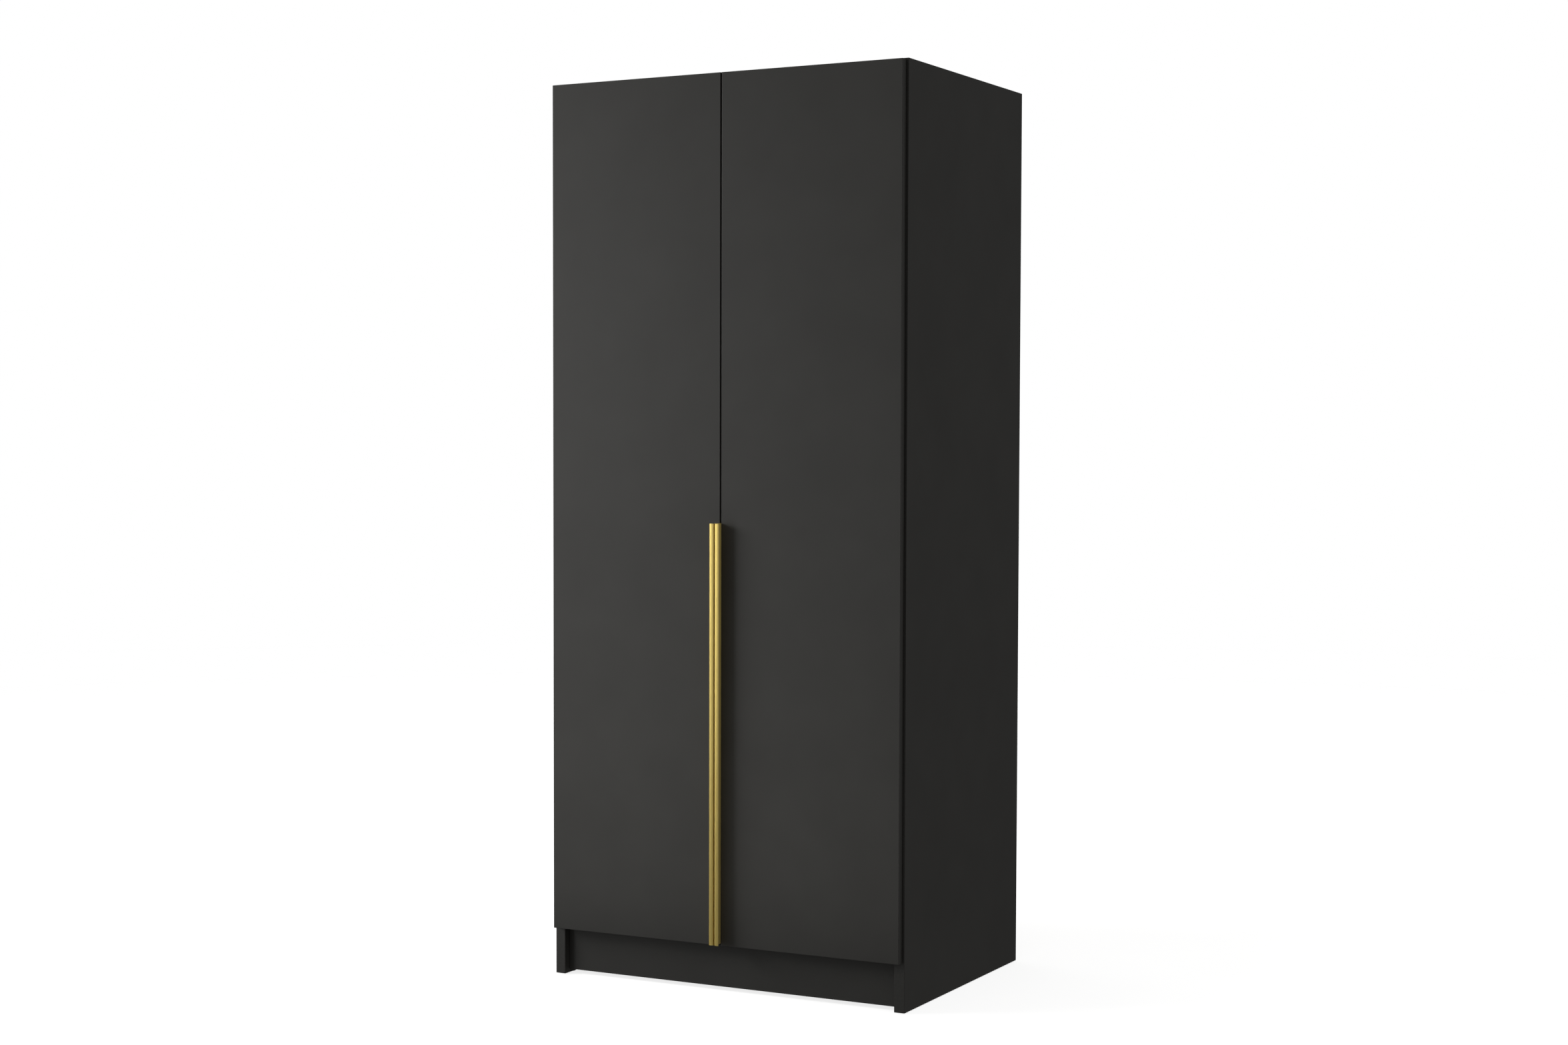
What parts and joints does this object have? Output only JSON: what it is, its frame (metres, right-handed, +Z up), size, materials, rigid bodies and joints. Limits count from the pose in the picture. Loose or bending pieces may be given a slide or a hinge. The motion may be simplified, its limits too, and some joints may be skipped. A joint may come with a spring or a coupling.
{
  "type": "wardrobe",
  "caption": "Tall hinged-door wardrobe in dark graphite laminate, on full-depth side panels with a recessed plinth, and slim gold edge pulls along the meeting doors.",
  "frame": {"origin": "on the floor, below the middle of the whole wardrobe with its doors and pulls", "axes": "+Z up, the doors face -Y, +X to the right as seen from the front"},
  "size_m": [0.8, 0.648, 1.867],
  "materials": {
    "front_laminate": "matt graphite melamine-faced board with a fine texture",
    "carcass_laminate": "matt graphite melamine-faced board with a fine texture",
    "back_board": "painted thin fibreboard",
    "gold_anodised_aluminium": "satin gold anodised",
    "hinge_steel": "nickel plated pressed steel",
    "chromed_tube": "polished",
    "black_plastic": "moulded",
    "clear_rubber": "soft translucent pad"
  },
  "bodies": {
    "carcass": {"left_side_panel": "carcass_laminate", "right_side_panel": "carcass_laminate", "top_panel": "carcass_laminate", "bottom_panel": "carcass_laminate", "front_plinth": "front_laminate", "rear_plinth": "carcass_laminate", "back_panel_left": "back_board", "back_panel_right": "back_board", "back_joint_strip": "black_plastic", "rear_top_rail": "carcass_laminate", "wall_bracket": "hinge_steel", "hat_shelf": "carcass_laminate", "hanging_rail": "chromed_tube", "left_rail_socket": "chromed_tube", "right_rail_socket": "chromed_tube", "left_front_shelf_pin": "hinge_steel", "left_rear_shelf_pin": "hinge_steel", "left_front_glide": "black_plastic", "left_rear_glide": "black_plastic", "left_hinge_arm_1": "hinge_steel", "left_hinge_arm_2": "hinge_steel", "left_hinge_arm_3": "hinge_steel", "left_hinge_arm_4": "hinge_steel", "left_hinge_plate_1": "hinge_steel", "left_hinge_plate_2": "hinge_steel", "left_hinge_plate_3": "hinge_steel", "left_hinge_plate_4": "hinge_steel", "right_front_shelf_pin": "hinge_steel", "right_rear_shelf_pin": "hinge_steel", "right_front_glide": "black_plastic", "right_rear_glide": "black_plastic", "right_hinge_arm_1": "hinge_steel", "right_hinge_arm_2": "hinge_steel", "right_hinge_arm_3": "hinge_steel", "right_hinge_arm_4": "hinge_steel", "right_hinge_plate_1": "hinge_steel", "right_hinge_plate_2": "hinge_steel", "right_hinge_plate_3": "hinge_steel", "right_hinge_plate_4": "hinge_steel"},
    "left_door": {"left_door": "front_laminate", "left_pull": "gold_anodised_aluminium", "left_lower_bumper": "clear_rubber", "left_upper_bumper": "clear_rubber", "left_hinge_cup_1": "hinge_steel", "left_hinge_cup_2": "hinge_steel", "left_hinge_cup_3": "hinge_steel", "left_hinge_cup_4": "hinge_steel"},
    "right_door": {"right_door": "front_laminate", "right_pull": "gold_anodised_aluminium", "right_lower_bumper": "clear_rubber", "right_upper_bumper": "clear_rubber", "right_hinge_cup_1": "hinge_steel", "right_hinge_cup_2": "hinge_steel", "right_hinge_cup_3": "hinge_steel", "right_hinge_cup_4": "hinge_steel"}
  },
  "joints": [
    {"name": "left_door_hinge", "type": "hinge", "parent": "carcass", "child": "left_door", "pos_m": [-0.38899, -0.2895, 0.98275], "axis": [0, 0, -1], "range_deg": [0, 95]},
    {"name": "right_door_hinge", "type": "hinge", "parent": "carcass", "child": "right_door", "pos_m": [0.38899, -0.2895, 0.98275], "axis": [0, 0, 1], "range_deg": [0, 95]}
  ]
}
